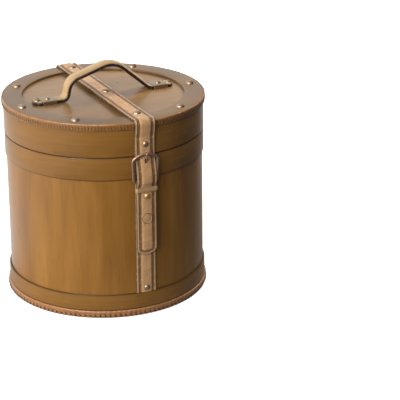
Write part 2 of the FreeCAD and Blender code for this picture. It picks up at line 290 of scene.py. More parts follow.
# How many times each pattern repeats in a metre along its axes: grain lines, clouds in the stain, knots.
grainForm = {
    "across": ((8.0, 190.0, 20.0), (9.0, 24.0, 9.0), (14.0, 30.0, 1.0)),
    "up": ((230.0, 9.0, 1.0), (30.0, 4.0, 1.0), (17.0, 9.0, 1.0)),
    "round": ((8.0, 260.0, 1.0), (8.0, 26.0, 1.0), (12.0, 34.0, 1.0)),
}


# Birch veneer, stained and lacquered satin: soft cloudy stain, long faint grain, small dark knots and
# pores. grain "up" runs up the wall, "round" along a band and "across" along X on the lid. shadedEdges are
# heights in millimetres where painted shade darkens the veneer beside a band's edge, for the shadow in the
# gap.
def veneer(name, grain, tones, shadedEdges=(), gloss=0.36):
    material, tree, shader = newMaterial(name, IOR=1.5, Specular_IOR_Level=0.36, Coat_Weight=0.12,
                                         Coat_Roughness=0.16)
    place = add(tree, "TexCoord")
    source = place.outputs["Object" if grain == "across" else "UV"]
    stretch, clouds, knots = grainForm[grain]
    fine = add(tree, "Mapping", {"Vector": source, "Scale": stretch})
    soft = add(tree, "Mapping", {"Vector": source, "Scale": clouds})
    spots = add(tree, "Mapping", {"Vector": source, "Scale": knots})
    lines = add(tree, "TexNoise", {"Vector": fine.outputs[0], "Scale": 1.0, "Detail": 5.0, "Roughness": 0.6})
    cloud = add(tree, "TexNoise", {"Vector": soft.outputs[0], "Scale": 1.0, "Detail": 4.0,
                                   "Roughness": 0.55, "Distortion": 0.25})
    blend = add(tree, "Mix", {0: 0.26, 2: cloud.outputs[0], 3: lines.outputs[0]})
    ramp = add(tree, "ValToRGB", {0: blend.outputs[0]}, stops=list(zip((0.3, 0.44, 0.56, 0.7), tones)))
    # knots are the middles of cells, one every few centimetres; pores are the peaks of a finer grain
    knot = add(tree, "TexVoronoi", {"Vector": spots.outputs[0], "Scale": 1.0})
    knotMask = add(tree, "MapRange", {0: knot.outputs["Distance"], 1: 0.025, 2: 0.09, 3: 0.32, 4: 0.0})
    pores = add(tree, "TexNoise", {"Vector": fine.outputs[0], "Scale": 3.0, "Detail": 2.0})
    poreMask = add(tree, "MapRange", {0: pores.outputs[0], 1: 0.62, 2: 0.76, 3: 0.0, 4: 0.4})
    marks = add(tree, "Math", {0: knotMask.outputs[0], 1: poreMask.outputs[0]}, operation="MAXIMUM")
    dark = paint("#3a210b")
    marked = add(tree, "Mix", {0: marks.outputs[0], 6: ramp.outputs[0], 7: dark}, data_type="RGBA")
    colour = marked.outputs[2]
    # painted shade: within about 2 mm of each height the colour darkens, for the shadow in the gaps between
    # bands
    if shadedEdges:
        height = add(tree, "SeparateXYZ", {0: place.outputs["Object"]}).outputs["Z"]
        shade = None
        for level in shadedEdges:
            gap = add(tree, "Math", {0: height, 1: level * 0.001}, operation="SUBTRACT")
            near = add(tree, "Math", {0: gap.outputs[0]}, operation="ABSOLUTE")
            mask = add(tree, "MapRange", {0: near.outputs[0], 1: 0.0004, 2: 0.0022, 3: 0.75, 4: 0.0})
            if shade is not None:
                mask = add(tree, "Math", {0: shade, 1: mask.outputs[0]}, operation="MAXIMUM")
            shade = mask.outputs[0]
        colour = add(tree, "Mix", {0: shade, 6: colour, 7: paint("#2c1808")}, data_type="RGBA").outputs[2]
    tree.links.new(colour, shader.inputs["Base Color"])
    rough = add(tree, "MapRange", {0: cloud.outputs[0], 1: 0.3, 2: 0.7, 3: gloss - 0.05, 4: gloss + 0.07})
    tree.links.new(rough.outputs[0], shader.inputs["Roughness"])
    bump(tree, shader, blend.outputs[0], 0.1, 0.0006)
    return material


# Waxed vegetable-tanned leather: pebbled grain about a millimetre wide, mottled wax, pale where it is
# rubbed. bands are (millimetres from the strip's edge, colour), so that edges, creases and the raised middle
# differ. rimWearAndHighlight is a height in millimetres and the lighter colour laid along it: partly rubbed
# wear and partly a painted highlight on a hem's top edge.
def leather(name, bands, mottle, roughness=0.46, wear="#c4a680", rub=0.28, grainSize=1.0, rimWearAndHighlight=None):
    material, tree, shader = newMaterial(name, IOR=1.45, Sheen_Weight=0.06)
    place = add(tree, "TexCoord")
    width = bands[-1][0]
    fromEdge = add(tree, "SeparateXYZ", {0: place.outputs["UV"]}).outputs["Y"]
    share = add(tree, "MapRange", {0: fromEdge, 1: 0.0, 2: width * 0.001, 3: 0.0, 4: 1.0})
    ramp = add(tree, "ValToRGB", {0: share.outputs[0]}, stops=[(at / width, tone) for at, tone in bands])
    cloud = add(tree, "TexNoise", {"Vector": place.outputs["Object"], "Scale": 85.0, "Detail": 5.0,
                                   "Roughness": 0.6})
    dark = add(tree, "MapRange", {0: cloud.outputs[0], 1: 0.42, 2: 0.66, 3: 0.0, 4: mottle})
    wax = paint("#3a2512")  # dark wax in patches about a centimetre wide
    mottled = add(tree, "Mix", {0: dark.outputs[0], 6: ramp.outputs[0], 7: wax}, data_type="RGBA")
    # pale rubbed spots about 4 mm wide
    rubbed = add(tree, "TexNoise", {"Vector": place.outputs["Object"], "Scale": 240.0, "Detail": 3.0})
    rubMask = add(tree, "MapRange", {0: rubbed.outputs[0], 1: 0.55, 2: 0.7, 3: 0.0, 4: rub})
    worn = add(tree, "Mix", {0: rubMask.outputs[0], 6: mottled.outputs[2], 7: paint(wear)}, data_type="RGBA")
    colour = worn.outputs[2]
    # painted highlight, partly rubbed wear: the colour lightens in patches within about 2.6 mm of the height
    if rimWearAndHighlight:
        height = add(tree, "SeparateXYZ", {0: place.outputs["Object"]}).outputs["Z"]
        gap = add(tree, "Math", {0: height, 1: rimWearAndHighlight[0] * 0.001}, operation="SUBTRACT").outputs[0]
        away = add(tree, "Math", {0: gap}, operation="ABSOLUTE").outputs[0]
        near = add(tree, "MapRange", {0: away, 1: 0.0003, 2: 0.0026, 3: 1.0, 4: 0.0}).outputs[0]
        patch = add(tree, "MapRange", {0: cloud.outputs[0], 1: 0.4, 2: 0.6, 3: 0.35, 4: 0.95}).outputs[0]
        amount = add(tree, "Math", {0: near, 1: patch}, operation="MULTIPLY").outputs[0]
        colour = add(tree, "Mix", {0: amount, 6: colour, 7: paint(rimWearAndHighlight[1])}, data_type="RGBA").outputs[2]
    tree.links.new(colour, shader.inputs["Base Color"])
    pebble = add(tree, "TexVoronoi", {"Vector": place.outputs["Object"], "Scale": 1000 / grainSize})
    rough = add(tree, "MapRange", {0: cloud.outputs[0], 1: 0.3, 2: 0.7, 3: roughness - 0.07,
                                   4: roughness + 0.1})
    tree.links.new(rough.outputs[0], shader.inputs["Roughness"])
    bump(tree, shader, pebble.outputs["Distance"], 0.25, 0.0003)
    return material


# Antique plating: brown tarnish in patches a few millimetres wide, rubbed bright between them.
def platedMetal(name, bright, dark, roughness, tarnish=0.5):
    material, tree, shader = newMaterial(name, Metallic=1.0)
    place = add(tree, "TexCoord")
    cloud = add(tree, "TexNoise", {"Vector": place.outputs["Object"], "Scale": 380.0, "Detail": 4.0,
                                   "Roughness": 0.6})
    mask = add(tree, "MapRange", {0: cloud.outputs[0], 1: 0.38, 2: 0.62, 3: 0.0, 4: tarnish})
    tone = add(tree, "Mix", {0: mask.outputs[0], 6: paint(bright), 7: paint(dark)}, data_type="RGBA")
    tree.links.new(tone.outputs[2], shader.inputs["Base Color"])
    rough = add(tree, "MapRange", {0: cloud.outputs[0], 1: 0.3, 2: 0.7, 3: roughness, 4: roughness + 0.15})
    tree.links.new(rough.outputs[0], shader.inputs["Roughness"])
    bump(tree, shader, cloud.outputs[0], 0.12, 0.0003)
    return material


# Plain woven cotton lining, matt and soft. Its threads are drawn 1.1 mm apart, coarser than real ones, so
# that they show.
def wovenCotton(name, tone, shade):
    material, tree, shader = newMaterial(name, Roughness=0.9, Sheen_Weight=0.2)
    place = add(tree, "TexCoord")
    threads = {"Vector": place.outputs["UV"], "Scale": 145.0, "Distortion": 0.3}
    warp, weft = [add(tree, "TexWave", threads, bands_direction=way).outputs["Fac"] for way in "XY"]
    weave = add(tree, "Math", {0: warp, 1: weft}, operation="MULTIPLY")
    slub = add(tree, "TexNoise", {"Vector": place.outputs["Object"], "Scale": 60.0, "Detail": 4.0})
    mixed = add(tree, "Mix", {0: 0.45, 2: weave.outputs[0], 3: slub.outputs[0]})
    mix = add(tree, "Mix", {0: mixed.outputs[0], 6: paint(shade), 7: paint(tone)}, data_type="RGBA")
    tree.links.new(mix.outputs[2], shader.inputs["Base Color"])
    bump(tree, shader, weave.outputs[0], 0.3, 0.0003)
    return material


# Waxed linen thread: dull, with small light and dark turns of its twist.
def waxedThread(name, tone, shade):
    material, tree, shader = newMaterial(name, Roughness=0.6)
    place = add(tree, "TexCoord")
    twist = add(tree, "TexNoise", {"Vector": place.outputs["Object"], "Scale": 1300.0, "Detail": 2.0})
    mix = add(tree, "Mix", {0: twist.outputs[0], 6: paint(shade), 7: paint(tone)}, data_type="RGBA")
    tree.links.new(mix.outputs[2], shader.inputs["Base Color"])
    return material


wallVeneer = veneer("stainedVeneerUp", "up", ("#65441b", "#704b1b", "#7a5320", "#855c26"))
bandVeneer = veneer("stainedVeneerRound", "round", ("#5c3f1a", "#67461a", "#714d1e", "#7c5725"),
                    # the collar's foot, the foot band's top, the foot hem's top and the parting line get
                    # painted shade
                    shadedEdges=(box["parting"], box["collarFoot"], box["footTop"], box["footHemTop"]))
lidVeneer = veneer("stainedVeneerLid", "across", ("#6a4c27", "#755632", "#7f603b", "#8d6f49"), gloss=0.32)
ringVeneer = veneer("stainedVeneerRing", "across", ("#513b1e", "#5c4426", "#664c2d", "#725736"), gloss=0.34)
plainPly = veneer("plainBirchPly", "across", ("#8d6c42", "#a58355", "#b39262", "#c4a678"), gloss=0.6)
strapBands = [(0.0, "#2f1e10"), (0.6, "#6d5236"), (1.2, "#a08262"), (2.6, "#997b59"), (3.4, "#67492c"),
              (6.8, "#745231"), (7.4, "#8a663f"), (8.2, "#aa825b"), (15.5, "#a67f57")]
strapLeather = leather("waxedStrapLeather", strapBands, 0.2)
keeperBands = [(0.0, "#6f5138"), (1.2, "#8f6e4e"), (4.1, "#9a7753")]
keeperLeather = leather("waxedKeeperLeather", keeperBands, 0.25)
plainLeather = leather("waxedStrapLeatherPlain", [(0.0, "#9e7851"), (20.0, "#a67f57")], 0.2)
handleBands = [(0.0, "#1c1108"), (0.8, "#352312"), (1.7, "#8a6b43"), (2.3, "#9a7b50"), (2.8, "#6e5030"),
               (3.4, "#9a7d55"), (12.0, "#a58a62")]
handleLeather = leather("rubbedHandleLeather", handleBands, 0.12, roughness=0.4, wear="#bfa67c", rub=0.1,
                        grainSize=0.9)
# both hems are lightened along their top edge: partly rubbed wear, partly a painted highlight
lidHemLeather = leather("hemLeatherBrown", [(0.0, "#6a4720"), (20.0, "#765026")], 0.25, roughness=0.34,
                        wear="#8f5f38", rimWearAndHighlight=(box["top"] - 0.6, "#94663f"))
footHemLeather = leather("hemLeatherCopper", [(0.0, "#7c5330"), (20.0, "#855b36")], 0.35, roughness=0.36,
                         wear="#b07a50", rimWearAndHighlight=(11.3, "#a5754d"))
darkThread = waxedThread("waxedThreadDark", "#4a311b", "#20140a")
blackThread = waxedThread("waxedThreadBlack", "#2e1c0e", "#140b05")
strapThread = waxedThread("waxedThreadBrown", "#7b5a39", "#3c2714")
lightThread = waxedThread("waxedThreadLight", "#8b6b48", "#51391f")
bronze = platedMetal("antiqueBronzePlate", "#c0a68c", "#75604a", 0.42)
oldBrass = platedMetal("oldBrass", "#ecc981", "#a8813f", 0.42, 0.3)
pewter = platedMetal("antiquePewterPlate", "#bd9c86", "#735a4a", 0.46, 0.5)
plateSteel = platedMetal("nickelPlatedSteel", "#b9a184", "#5d4b39", 0.28, 0.45)
lining = wovenCotton("cottonLining", "#bfa983", "#8f7753")
print("materials made")


# Closed outline of a wall's section: a block with its four corners rounded. Long upright runs get a few
# more points, about apart from each other.
def softBlock(inside, outside, low, high, radius, apart=12):
    middle = (inside + outside) / 2
    corners = [(middle, low), (outside, low), (outside, high), (inside, high), (inside, low), (middle, low)]
    line = roundedLine(corners, [radius] * 4, 0.3)
    levels = np.linspace(low + radius, high - radius, max(2, int((high - low) / apart)))[1:-1]
    split = []
    for start, end in zip(line, line[1:]):
        split.append([start])
        if abs(end[1] - start[1]) > 20:
            order = levels if end[1] > start[1] else levels[::-1]
            split.append(np.stack([np.full(len(order), start[0]), order], -1))
    return np.vstack(split)


# Tell the frame what a piece rides on, and hide the nodes that it stands for.
# slotName is not used.
def finish(piece, body, slotName, *nodes):
    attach(piece, body)
    if nodes:
        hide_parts(*nodes)
    return piece


# edge and thickEdge round the corners of thin and thick bands, gap is half the parting line, neckWall the
# neck ring's thickness, and footLift keeps the foot band off the table
shell = {"edge": 0.7, "thickEdge": 1.0, "gap": 0.5, "neckWall": 2.8, "footLift": 0.3}
neckLow, neckHigh = nodeBox("neck_ring")
for name, node, body, inside, outside, low, high, edge, wood in (
        ("bodyWall", "body_wall", "tub", box["tubRadius"] - box["wall"], box["tubRadius"], 0.0,
         box["parting"] - shell["gap"], shell["edge"], wallVeneer),
        ("collarBand", "collar_band", "tub", box["tubRadius"], box["collarRadius"], box["collarFoot"],
         box["parting"] - shell["gap"], shell["edge"], bandVeneer),
        ("footBand", "foot_band", "tub", box["tubRadius"], box["footRadius"], shell["footLift"],
         box["footTop"], shell["edge"], bandVeneer),
        ("lidSkirt", "lid_skirt", "lid", box["skirtRadius"] - box["wall"], box["skirtRadius"],
         box["parting"] + shell["gap"], box["panelTop"], shell["edge"], bandVeneer),
        ("lidRing", "lid_ring", "lid", box["ringInner"], box["skirtRadius"], box["panelTop"],
         box["top"], shell["thickEdge"], ringVeneer),
        ("neckRing", "neck_ring", "tub", neckHigh[0] - shell["neckWall"], neckHigh[0], neckLow[2],
         neckHigh[2], shell["thickEdge"], plainPly)):
    slotName = "inner_wood" if wood is plainPly else "veneer"
    finish(turned(name, softBlock(inside, outside, low, high, edge), wood), body, slotName, node)
# the cloth's thickness and rounded edge, the board and panel that it lies on, how tall its folded hem in the
# lid is, and the radii of a few more points over its flat middle
inner = {
    "radius": box["tubRadius"] - box["wall"],
    "lidRadius": box["skirtRadius"] - box["wall"],
    "cloth": 0.8,
    "clothRound": 0.4,
    "baseTop": nodeBox("base_board")[1][2],
    "panelFoot": nodeBox("lid_panel")[0][2],
    "hemRoll": 2.2,
    "middleRings": [90.0, 45.0, 0.0],
}
wavy = {"height": 0.25, "folds": 46}


# Cloth laid on a wall by hand: shallow upright ripples on its free side.
def slack(angle, line):
    free = line[..., 0] < line[..., 0].max() - inner["cloth"] / 2
    return -wavy["height"] * (1 + np.sin(angle * wavy["folds"] + 2 * np.sin(angle * 5))) / 2 * free


clothTop = inner["baseTop"] + inner["cloth"]
sideSection = softBlock(inner["radius"] - inner["cloth"], inner["radius"], clothTop, neckLow[2], 0.3)
sideCloth = turned("sideLining", sideSection, lining, segments=360, ripple=slack)
finish(sideCloth, "tub", "lining_cloth", "side_lining")
floorSection = [(0, inner["baseTop"]), (inner["radius"], inner["baseTop"]),
                (inner["radius"], clothTop - 0.3), (inner["radius"] - inner["clothRound"], clothTop)]
floorSection += [(radius, clothTop) for radius in inner["middleRings"]]
floorCloth = turned("baseLining", floorSection, lining, segments=180)
finish(floorCloth, "tub", "lining_cloth", "base_lining")
cap = inner["lidRadius"]
capCloth = cap - inner["cloth"]
clothFoot = box["parting"] + 0.8
hemTop = clothFoot + inner["hemRoll"]
ceiling = inner["panelFoot"] - inner["cloth"]
lidSection = [(0, inner["panelFoot"]), (cap, inner["panelFoot"]), (cap, clothFoot),
              (capCloth, clothFoot - 0.1), (capCloth - 0.4, clothFoot + 0.8), (capCloth - 0.1, hemTop),
              (capCloth, hemTop + 0.5), (capCloth, inner["panelFoot"] - 2), (cap - 2, ceiling)]
lidSection += [(radius, ceiling) for radius in inner["middleRings"]]
lidCloth = turned("lidLining", lidSection, lining)
finish(lidCloth, "lid", "lining_cloth", "lid_lining")
for node, material in (("lid_panel", lidVeneer), ("base_board", plainPly)):
    frame["nodes"][node].data.materials.clear()
    frame["nodes"][node].data.materials.append(material)
print("walls made")

# roll is the fold's radius, slant how far a thread leans sideways over its reach, and threadFrom and
# threadTo how far its ends stay inside the fold's foot and top
lidHemForm = {
    "pitch": 4.6,
    "slant": 2.6,
    "roll": 2.0,
    "threadRadius": 0.55,
    "pinch": 0.28,
    "threadFrom": 1.2,
    "threadTo": 2.2,
}
footHemForm = {
    "pitch": 7.4,
    "slant": 3.4,
    "roll": 2.0,
    "threadRadius": 0.95,
    "pinch": 0.6,
    "threadFrom": 0.8,
    "threadTo": 4.6,
}


# Leather hem: a rounded fold round the rim, pinched a little under each thread, and slanted threads over
# it, one pitch apart and sewn a little unevenly.
def whipHem(name, node, body, radius, form, hide, threads):
    (_, _, low), (outer, _, high) = nodeBox(node)
    half = (low + high) / 2
    corners = [(radius, half), (radius, low), (outer, low), (outer, high), (radius, high), (radius, half)]
    outline = roundedLine(corners, [0.2, form["roll"], form["roll"], 0.2], 0.4)[:-1]
    stitches = int(2 * np.pi * outer / form["pitch"])

    # Down by the cosine of the angle times the number of threads, where that is above zero.
    def pinch(angle, line):
        lean = (line[..., 1] - low) / form["pitch"] * form["slant"] / 2
        wave = np.cos(angle * stitches + lean)
        return -form["pinch"] * np.clip(wave, 0, 1) * (line[..., 0] > radius + 0.5)

    hem = turned(name, outline, hide, segments=stitches * 6, ripple=pinch, sharp=60)
    finish(hem, body, "hem_leather", node)
    angle = np.arange(stitches) * 2 * np.pi / stitches
    # sewn by hand: the slant differs by up to half, length by 8%, depth by 0.12 mm and place by 0.35 mm
    uneven = np.random.default_rng(11).uniform(-1, 1, (3, stitches, 1))
    middle = (low + form["threadFrom"] + high - form["threadTo"]) / 2
    reach = high - form["threadTo"] - low - form["threadFrom"]
    shape, faces = threadShape(math.hypot(reach, form["slant"]), form["threadRadius"])
    outward = np.stack([np.sin(angle), np.cos(angle), 0 * angle], -1)
    sideways = np.stack([np.cos(angle), -np.sin(angle), 0 * angle], -1)
    length = sideways * form["slant"] * (1 + 0.5 * uneven[0]) + np.array([0, 0, reach])
    length /= np.linalg.norm(length, axis=1, keepdims=True)
    across = np.cross(outward, length)
    turns = np.stack([length * (0.95 + 0.08 * uneven[2]), across, outward], -1)
    places = outward * (outer - 0.2 + 0.12 * uneven[1]) + sideways * uneven[2] * 0.35
    places = places + np.array([0, 0, middle])
    threadPiece = repeated(name + "Threads", shape, faces, places, turns, threads)
    finish(threadPiece, body, "hem_leather")


whipHem("lidHem", "lid_hem", "lid", box["skirtRadius"], lidHemForm, lidHemLeather, darkThread)
whipHem("footHem", "foot_hem", "tub", box["footRadius"], footHemForm, footHemLeather, blackThread)
print("hems made")

# edgeHeight is the height over the strip's line at edgeAt from its edge; row is how far in the stitches run
strapForm = {
    "half": (flapHigh[0] - flapLow[0]) / 2,
    "edgeAt": np.array([0, 0.25, 0.7, 1.4, 2.6, 3.2, 3.7, 5.2, 6.9, 7.3, 7.9, 9.5, 12.5, 15.5]),
    "edgeHeight": np.array([1.3, 2.1, 2.6, 2.85, 2.8, 2.5, 2.1, 2.05, 2.15, 2.8, 3.2, 3.4, 3.5, 3.5]),
    "row": 5.2,
    "pitch": 3.6,
    "tip": 9.0,
}


# Leather strip carried along a plane line. Its height over the line depends on the distance from its edge,
# a blunt round end is half an ellipse tips long, and curve bends upright runs to a wall's radius. Returns
# the piece, the function that puts (along, across, height) in place, and the line's length.
def stripShape(name, line, plane, form, material, tips=(0, 0), curve=0.0, swell=None, step=1.5):
    total = lineLength(line)[-1]
    places = np.linspace(0, total, int(total / step) + 1)
    for size, start in zip(tips, (0, 1)):
        if size:
            fine = size * (1 - np.cos(np.linspace(0.03, np.pi / 2, 10)))
            if start == 0:
                places = np.concatenate([fine, places[places > size]])
            else:
                places = np.concatenate([places[places < total - size], total - fine[::-1]])
    half = form["half"]

    # The line's point plus its normal times the height, less half the curve times the distance across
    # squared.
    def put(along, across, height):
        at, normal = alongLine(line, along)
        upright = normal[..., 0] ** 2
        height = height - curve * upright * across ** 2 / 2
        flat = at + normal * height[..., None]
        if plane == "yz":
            return np.stack([across, flat[..., 0], flat[..., 1]], -1)
        return np.stack([flat[..., 0], across, flat[..., 1]], -1)

    # Half width at each place, and how far each place is inside a round end.
    def span(along):
        inside = [np.clip(size - gap, 0, None) / size if size else 0 * along
                  for size, gap in zip(tips, (along, total - along))]
        return half * np.sqrt(np.clip(1 - np.maximum(*inside) ** 2, 0, 1)), inside

    width, inside = span(places)
    toEdge = form["edgeAt"] / form["edgeAt"][-1]
    across = np.concatenate([toEdge - 1, 1 - toEdge[-2::-1]])
    u = across[None] * width[:, None]
    edge = half - np.abs(u)
    for size, part in zip(tips, inside):
        if size:
            v = part * size
            rho = np.sqrt((u / half) ** 2 + (v / size)[:, None] ** 2) + 1e-9
            slope = np.sqrt((u / half ** 2) ** 2 + (v / size ** 2)[:, None] ** 2) / rho
            edge = np.where(v[:, None] > 0, np.minimum(half, (1 - rho) / slope), edge)
    edge = np.clip(edge, 0, half)
    height = np.interp(edge, form["edgeAt"], form["edgeHeight"])
    if swell is not None:
        height = height + swell(places)[:, None] * np.interp(edge, form["edgeAt"], form["crown"])
    along = np.repeat(places[:, None], u.shape[1], 1)
    top = put(along.ravel(), u.ravel(), height.ravel()).reshape(*u.shape, 3)
    under = np.array([1.0, 0.97, 0.5, 0.0, -0.5, -0.97, -1.0])
    underMap = np.array([0.0, 1.0, 1.0, 1.0, 1.0, 1.0, 0.0]) * half  # its flesh side is plain
    inset = np.clip(width - 0.3, 0.01, None)  # and a little narrower
    uLow = under[None] * inset[:, None]
    alongLow = np.repeat(places[:, None], len(under), 1)
    low = put(alongLow.ravel(), uLow.ravel(), np.zeros(uLow.size)).reshape(*uLow.shape, 3)
    grid = np.concatenate([top, low], 1)
    edgeMap = np.concatenate([edge, np.repeat(underMap[None], len(places), 0), edge[:, :1]], 1) * 0.001
    alongMap = np.repeat(places[:, None], edgeMap.shape[1], 1) * 0.001
    piece = surface(name, grid, np.stack([alongMap, edgeMap], -1), material)
    return piece, put, total


# Threads along both edges of a strip, one pitch apart, and round its blunt end. A square end keeps them
# margin away, and each lies sink below the leather.
def stitchRows(name, put, total, form, threads, tips=(0, 0), margin=3.0, sink=0.15):
    half, row = form["half"], form["row"]
    first = tips[0] or margin
    last = total - (tips[1] or margin)
    side = np.arange(first, last, form["pitch"])
    rows = [np.stack([side, np.full(len(side), k * (half - row))], -1) for k in (-1, 1)]
    for size, sign, edge in ((tips[0], -1, first), (tips[1], 1, last)):
        if size:
            angle = np.linspace(-np.pi / 2, np.pi / 2, int(half * 2.4 / form["pitch"]))[1:-1]
            deep = max(size - row, 2.0)
            bend = np.stack([edge + sign * deep * np.cos(angle), (half - row) * np.sin(angle)], -1)
            rows.append(bend)
    places = np.vstack(rows)
    heading = np.vstack([np.gradient(r, axis=0) for r in rows])
    heading /= np.linalg.norm(heading, axis=1, keepdims=True)
    level = np.interp(row, form["edgeAt"], form["edgeHeight"]) - sink
    flat = np.full(len(places), level)
    ahead = put(places[:, 0] + heading[:, 0], places[:, 1] + heading[:, 1], flat)
    here = put(places[:, 0], places[:, 1], flat)
    above = put(places[:, 0], places[:, 1], flat + 1)
    length = ahead - here
    length /= np.linalg.norm(length, axis=1, keepdims=True)
    outward = above - here
    across = np.cross(outward, length)
    across /= np.linalg.norm(across, axis=1, keepdims=True)
    shape, faces = threadShape(form["pitch"] * 0.78, 0.5)
    turns = np.stack([length, across, np.cross(length, across)], -1)
    return repeated(name, shape, faces, here, turns, threads)


# the strap lies lift over the skirt and hemLift over the hem, jogs in under the hem, stands proud by a
# little where it turns onto the lid, and comes to rest further in. joinFront and joinBack are the ends of
# the lid's part, and flapFold and backFold half the heights over which the leather bends at a hinge
strapSpan = {
    "lift": 0.2,
    "hemLift": 0.25,
    "joinFront": hinges["flap_hinge"][2] + 9,
    "joinBack": hinges["lid_hinge"][2] + 12,
    "underHem": 2.0,
    "jog": 9.0,
    "proud": 1.3,
    "shoulder": 1.0,
    "rest": 16.0,
    "flapFold": 5.0,
    "backFold": 6.0,
    "bends": [6, 6, 5, 30, 30, 5, 6, 6],
    "backBends": [5, 5],
}
onSkirt = box["skirtRadius"] + strapSpan["lift"]
overHem = lidHemHigh[0] + strapSpan["hemLift"]
underHem = lidHemLow[2] - strapSpan["underHem"]
jog, proud, rest = underHem - strapSpan["jog"], overHem + strapSpan["proud"], overHem - strapSpan["rest"]
shoulder, crest = box["top"] + strapSpan["shoulder"], box["top"] + 0.1
lidLine = roundedLine(
    [(-onSkirt, strapSpan["joinFront"]), (-onSkirt, jog), (-overHem, underHem), (-proud, shoulder),
     (-rest, crest), (rest, crest), (proud, shoulder), (overHem, underHem), (onSkirt, jog),
     (onSkirt, strapSpan["joinBack"])], strapSpan["bends"], 0.5)

# the flap stands out over the buckle's heel bar, with its back where the CAD flap has it, and comes back to
# rest on the magnet below the keeper
flapForm = {
    "cadThickness": 3.0,
    "underParting": 3.0,
    "heelMiddle": 2.3,
    "bulgeOver": 10.0,
    "bulgeUnder": 0.5,
    "overKeeper": 1.5,
    "bends": [14, 14, 5, 5],
}
keeperLow, keeperHigh = nodeBox("keeper_loop")
heelHeight = nodeBox("buckle_frame")[0][2] + flapForm["heelMiddle"]
bulge = -flapLow[1] - flapForm["cadThickness"]
flapRest = -nodeBox("flap_magnet")[0][1]
flapLine = roundedLine(
    [(-onSkirt, strapSpan["joinFront"]), (-onSkirt, box["parting"] - flapForm["underParting"]),
     (-bulge, heelHeight + flapForm["bulgeOver"]), (-bulge, heelHeight - flapForm["bulgeUnder"]),
     (-flapRest, keeperHigh[2] + flapForm["overKeeper"]), (-flapRest, flapLow[2])],
    flapForm["bends"], 0.5)[::-1]
lowerLow, lowerHigh = nodeBox("lower_strap")
lowerLine = np.array([(-box["tubRadius"], lowerLow[2]), (-box["tubRadius"], lowerHigh[2])])
backLow = nodeBox("back_strap")[0]
overCollar = box["collarRadius"] + strapSpan["lift"]
backLine = roundedLine(
    [(box["tubRadius"], backLow[2]), (box["tubRadius"], box["collarFoot"] - 6),
     (overCollar, box["collarFoot"] + 1), (overCollar, strapSpan["joinBack"])],
    strapSpan["backBends"], 0.5)[::-1]

# the prong's hole in the flap: the middles of its two round ends, and its depths along Y
holeForm = {"low": 238.8, "high": 240.4, "radius": 2.3, "sides": 40, "through": (-160.0, -144.0)}


# Punch an upright round-ended hole through the front of a strap: two half circles joined by straight runs.
def punch(strap, form):
    turn = np.linspace(0, 2 * np.pi, form["sides"], endpoint=False)
    ring = np.stack([form["radius"] * np.cos(turn), form["radius"] * np.sin(turn)], -1)
    ring[:, 1] += np.where(ring[:, 1] > 0, form["high"], form["low"])
    grid = np.stack([np.insert(ring, 1, reach, axis=1) for reach in form["through"]])
    cutter = surface("punch", grid, np.zeros((3, form["sides"] + 1, 2)), strapLeather)
    cut = strap.modifiers.new("hole", "BOOLEAN")
    cut.object = cutter
    cut.operation = "DIFFERENCE"
    cut.solver = "EXACT"
    bpy.context.view_layer.update()
    seen = strap.evaluated_get(bpy.context.evaluated_depsgraph_get())
    made = bpy.data.meshes.new_from_object(seen)
    strap.modifiers.clear()
    strap.data = made
    bpy.data.objects.remove(cutter)


# A strap with its threads. It rides on one body; given a bend, it is only fixed in place and rides on no
# body.
def makeStrap(name, stitchName, node, line, radius, bodies, tips=(0, 0), bend=None, hole=None, step=1.5):
    strap, put, total = stripShape(name, line, "yz", strapForm, strapLeather, tips, 1 / radius, step=step)
    if hole:
        punch(strap, hole)
    stitches = stitchRows(stitchName, put, total, strapForm, strapThread, tips)
    for piece in (strap, stitches):
        if bend is not None:
            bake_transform(piece)
        else:
            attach(piece, *bodies)
    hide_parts(node)


flapBend = hinges["flap_hinge"][2] + np.array([1, -1]) * strapSpan["flapFold"]
backBend = hinges["lid_hinge"][2] + np.array([-1, 1]) * strapSpan["backFold"]
makeStrap("lidStrap", "lidStrapStitches", "lid_strap", lidLine, box["skirtRadius"], ["lid"])
makeStrap("flapStrap", "flapStitches", "flap_strap", flapLine, box["skirtRadius"], ["lid", "flap"],
          tips=(strapForm["tip"], 0), bend=flapBend, hole=holeForm)
makeStrap("lowerStrap", "lowerStrapStitches", "lower_strap", lowerLine, box["tubRadius"], ["tub"])
makeStrap("backStrap", "backStitches", "back_strap", backLine, box["tubRadius"], ["tub", "lid"],
          tips=(0, strapForm["tip"]), bend=backBend, step=1.0)
print("straps made")

# the route has a foot, a turn up, a turn down past the middle and a foot: corners are their places along X
# and bends their radii, as shares of the feet's distance from the middle. drop and over are the turns'
# heights below and over the peak, and crown the padding's height
handleForm = {
    "half": (handleHigh[1] - handleLow[1]) / 2,
    "edgeAt": np.array([0, 0.25, 0.7, 1.4, 2.2, 2.7, 3.2, 4.0, 6.0, 9.0, 12.0]),
    "edgeHeight": np.array([3.4, 3.9, 4.2, 4.35, 4.35, 4.1, 4.35, 4.5, 4.5, 4.5, 4.5]),
    "crown": np.array([0, 0, 0, 0, 0, 0, 0.1, 0.5, 1.5, 2.3, 2.6]),
    "row": 2.7,
    "pitch": 3.4,
    "arch": 45.4,
    "foot": 36.0,
    "tip": 10.0,
    "swellOver": 22.0,
    "lift": 0.05,
    "corners": [-0.78, -0.7, 0.19, 0.93],
    "drop": 18.0,
    "over": 3.0,
    "bends": [0.16, 0.24, 0.42, 0.3],
}
tip = handleHigh[0]
foot = tip - handleForm["foot"]
seat = box["panelTop"] + handleForm["lift"]
peak = box["panelTop"] + handleForm["arch"]
leftFoot, leftTurn, rightTurn, rightFoot = [foot * share for share in handleForm["corners"]]
handleLine = roundedLine([(-tip, seat), (leftFoot, seat), (leftTurn, peak - handleForm["drop"]),
                          (rightTurn, peak + handleForm["over"]), (rightFoot, seat), (tip, seat)],
                         [foot * share for share in handleForm["bends"]], 0.6)


